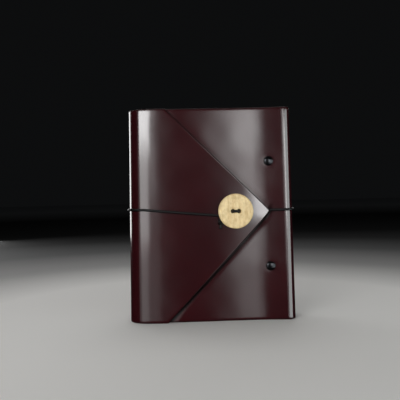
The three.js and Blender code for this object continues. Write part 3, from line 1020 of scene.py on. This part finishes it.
def make_fasteners():
    screw_mesh("screw_upper", POST_Z[1], 0.5, "upper_screw_body", "upper_screw")
    screw_mesh("screw_lower", POST_Z[0], -0.35, "lower_screw_body", "lower_screw")
    post_mesh("post_upper", POST_Z[1], "upper_post")
    post_mesh("post_lower", POST_Z[0], "lower_post")


def elastic_heights(s):
    """Height of the elastic at each distance along the leather."""
    knots_s = [FLAP_TIP_X - 5.0, BREAKS[1], BREAKS[3], BREAKS[8], WHOLE]
    knots_z = [80.4, 85.8, 86.2, 83.7, 82.9]
    return np.interp(s, knots_s, knots_z)


def make_elastic():
    """One cord in four stretches. Each braid carries on where the last one ends."""
    lift = ELASTIC_LIFT + ELASTIC_R - ELASTIC_BED
    s_flap = np.concatenate([
        np.arange(FLAP_TIP_X - 5.0, BREAKS[1], 5.0), np.arange(BREAKS[1], S_FORE_MIDDLE, 1.5), [S_FORE_MIDDLE],
    ])
    lead = np.array([(15.3, FLAP_Y - lift - 0.1, 82.2), (10.5, FLAP_Y - lift - 0.1, 81.2)])
    flap_line = np.concatenate([lead, on_leather(s_flap, elastic_heights(s_flap), lift)])
    over_flap, run = braided_cord("elastic_flap", flap_line, ELASTIC_R, elastic)

    s_wrap = np.concatenate([np.arange(S_FORE_MIDDLE, BREAKS[4], 1.5), [BREAKS[4], S_BACK_SEAM]])
    wrap_line = on_leather(s_wrap, elastic_heights(s_wrap), lift)
    round_fore, length = braided_cord("elastic_fore_edge", wrap_line, ELASTIC_R, elastic, run)
    run += length

    s_back = np.concatenate([
        np.arange(S_BACK_SEAM, BREAKS[5], 6.0), np.arange(BREAKS[5], BREAKS[6], 1.2), [BREAKS[6], S_SPINE_MIDDLE],
    ])
    back_line = on_leather(s_back, elastic_heights(s_back), lift)
    over_back, length = braided_cord("elastic_back", back_line, ELASTIC_R, elastic, run)
    run += length

    s_eye = S_FOLD + (FOLD_X - BUTTON[0]) - EYE_RADIUS
    s_front = np.concatenate([
        [S_SPINE_MIDDLE, BREAKS[7]], np.arange(BREAKS[7] + 1.2, BREAKS[8], 1.2),
        np.arange(BREAKS[8], s_eye, 3.0), [s_eye],
    ])
    front_line = under_flap(on_leather(s_front, elastic_heights(s_front), lift))
    over_front, _ = braided_cord("elastic_front", front_line, ELASTIC_R, elastic, run)

    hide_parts("elastic_on_flap")
    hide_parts("elastic_on_fore_edge")
    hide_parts("elastic_on_back")
    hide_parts("elastic_eye_end")
    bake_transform(over_flap)
    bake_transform(round_fore)
    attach(over_back, "binding")
    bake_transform(over_front)
    make_eye()
    make_end_knot()


def under_flap(line):
    """Keeps the elastic in the space between the flap and the front cover."""
    out = line.copy()
    hidden = out[:, 0] < UNDER_FLAP_X
    out[hidden & (out[:, 1] < UNDER_FLAP_Y), 1] = UNDER_FLAP_Y
    return out


def make_eye():
    turn = np.linspace(0.04, 2 * math.pi - 0.04, 40)
    points = [
        (BUTTON[0] + EYE_RADIUS * math.cos(a), UNDER_FLAP_Y, BUTTON[1] + EYE_RADIUS * math.sin(a)) for a in turn
    ]
    eye, _ = braided_cord("elastic_eye", points, 0.9, elastic)
    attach(eye, "front")


def make_end_knot():
    """The elastic's end comes out beside the button, turns once through its own loop, and hangs down."""
    y = FLAP_Y - ELASTIC_LIFT - ELASTIC_R
    points = [
        (13.4, y, 79.6), (12.0, y, 78.6), (10.0, y - 0.1, 77.6), (8.4, y - 0.9, 76.8),
        (6.4, y - 1.5, 75.9), (5.8, y - 1.0, 74.5), (7.0, y, 74.0), (8.5, y + 0.1, 74.9),
        (8.8, y - 0.6, 76.4), (7.6, y - 1.3, 77.4), (6.3, y - 0.9, 77.2), (6.0, y - 0.1, 76.0),
        (6.7, y + 0.1, 74.6), (7.1, y, 73.0), (6.8, y + 0.05, 71.5), (6.5, y + 0.1, 70.5),
    ]
    knot, _ = braided_cord("elastic_knot", points, 0.85, elastic, step=0.16, ends=(1.0, 0.55))
    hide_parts("elastic_end_knot")
    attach(knot, "flap")


# ---------------------------------------------------------------- stage and light

def make_floor():
    """A floor with a painted pool of light: near white in the middle, painted nearly black around it, and near white
    again far off. It is kept out of the leather's gloss, which it would haze.
    """
    mesh = bpy.data.meshes.new("floor")
    corners = [(x * FLOOR_REACH, y * FLOOR_REACH, FLOOR_Z) for x, y in ((-1, -1), (1, -1), (1, 1), (-1, 1))]
    mesh.from_pydata(corners, [], [(0, 1, 2, 3)])
    floor = bpy.data.objects.new("floor", mesh)
    bpy.context.scene.collection.objects.link(floor)
    material, tree, shader = new_material("floor")
    spread = add_node(tree, "ShaderNodeTexGradient", gradient_type="SPHERICAL")
    tree.links.new(mapped(tree, "Object", (1 / 6, 1 / 6, 1 / 6)), spread.inputs["Vector"])
    # Painted light: the floor's colour falls from near white to nearly black with distance from the middle, like a
    # pool of lamp light.
    painted_light_pool = ramp(tree, spread.outputs["Fac"], [
        (0.167, (0.75, 0.75, 0.75)), (0.60, (0.012, 0.012, 0.012)), (0.865, (0.012, 0.012, 0.012)),
        (0.905, (0.08, 0.08, 0.08)), (0.94, (0.30, 0.295, 0.29)), (0.965, (0.80, 0.785, 0.76)),
    ])
    tree.links.new(painted_light_pool, shader.inputs["Base Color"])
    shader.inputs["Roughness"].default_value = 0.85
    shader.inputs["Specular IOR Level"].default_value = 0.2
    mesh.materials.append(material)
    floor.visible_glossy = False


def area_light(name, place, target, width, height, power, colour=(1, 1, 1)):
    data = bpy.data.lights.new(name, "AREA")
    data.shape = "RECTANGLE"
    data.size = width
    data.size_y = height
    data.energy = power
    data.color = colour
    light = bpy.data.objects.new(name, data)
    bpy.context.scene.collection.objects.link(light)
    light.location = place
    aim = Vector(target) - Vector(place)
    light.rotation_euler = aim.to_track_quat("-Z", "Y").to_euler()


def softbox(name, left, right, low, high, radiance, colour=(1, 1, 1)):
    """A soft light between two directions, in degrees from straight ahead, and two heights in metres."""
    middle = math.radians((left + right) / 2)
    height = (low + high) / 2
    width = 2 * SOFTBOX_DISTANCE * math.tan(math.radians((right - left) / 2))
    place = (SOFTBOX_DISTANCE * math.sin(middle), -SOFTBOX_DISTANCE * math.cos(middle), height)
    power = math.pi * width * (high - low) * radiance
    area_light(name, place, (0, 0, height), width, high - low, power, colour)


def overhead_softbox(name, place, width, depth, radiance):
    area_light(name, place, (0, 0, 0.08), width, depth, math.pi * width * depth * radiance)


def make_lights():
    softbox("left_softbox", -45, -15.8, 0.24, 0.47, 9.6)
    softbox("left_softbox_middle", -43, -18, -0.02, 0.24, 2.7)
    softbox("left_softbox_low", -40, -20, -0.32, -0.02, 0.6)
    softbox("left_softbox_wide", -50, -7, -0.32, 0.45, 0.5)
    softbox("left_softbox_edge", -15.8, -10, 0.10, 0.45, 0.8)
    softbox("right_softbox", 9.5, 14, 0.23, 0.42, 4.6)
    softbox("right_softbox_middle", 9.5, 14, -0.08, 0.23, 2.3)
    softbox("right_softbox_low", 9.5, 14, -0.30, -0.08, 1.5)
    softbox("right_softbox_edge", 5.5, 9.5, -0.08, 0.42, 0.9)
    softbox("tip_softbox", 14, 21, 0.02, 0.3, 8.6)
    softbox("side_softbox", 20, 76, -0.34, 0.36, 3.4, (0.93, 1.0, 1.0))
    overhead_softbox("top_softbox", (-0.25, -0.30, 1.0), 0.45, 0.3, 1.7)
    overhead_softbox("top_back_softbox", (0.0, 0.15, 0.9), 0.6, 0.4, 2.0)
    softbox("rim_light", -150, -118, 0.0, 0.5, 2.6)
    softbox("back_fill", 150, 205, 0.35, 0.9, 1.3)
    world = bpy.data.worlds.new("studio")
    bpy.context.scene.world = world
    world.use_nodes = True
    background = world.node_tree.nodes["Background"]
    background.inputs["Color"].default_value = (0.8, 0.85, 0.9, 1)
    background.inputs["Strength"].default_value = 0.005


make_elastic()
make_leather()
make_leaves()
make_button()
make_stitch()
make_fasteners()
make_floor()
make_lights()
bpy.context.scene.view_settings.view_transform = "Standard"
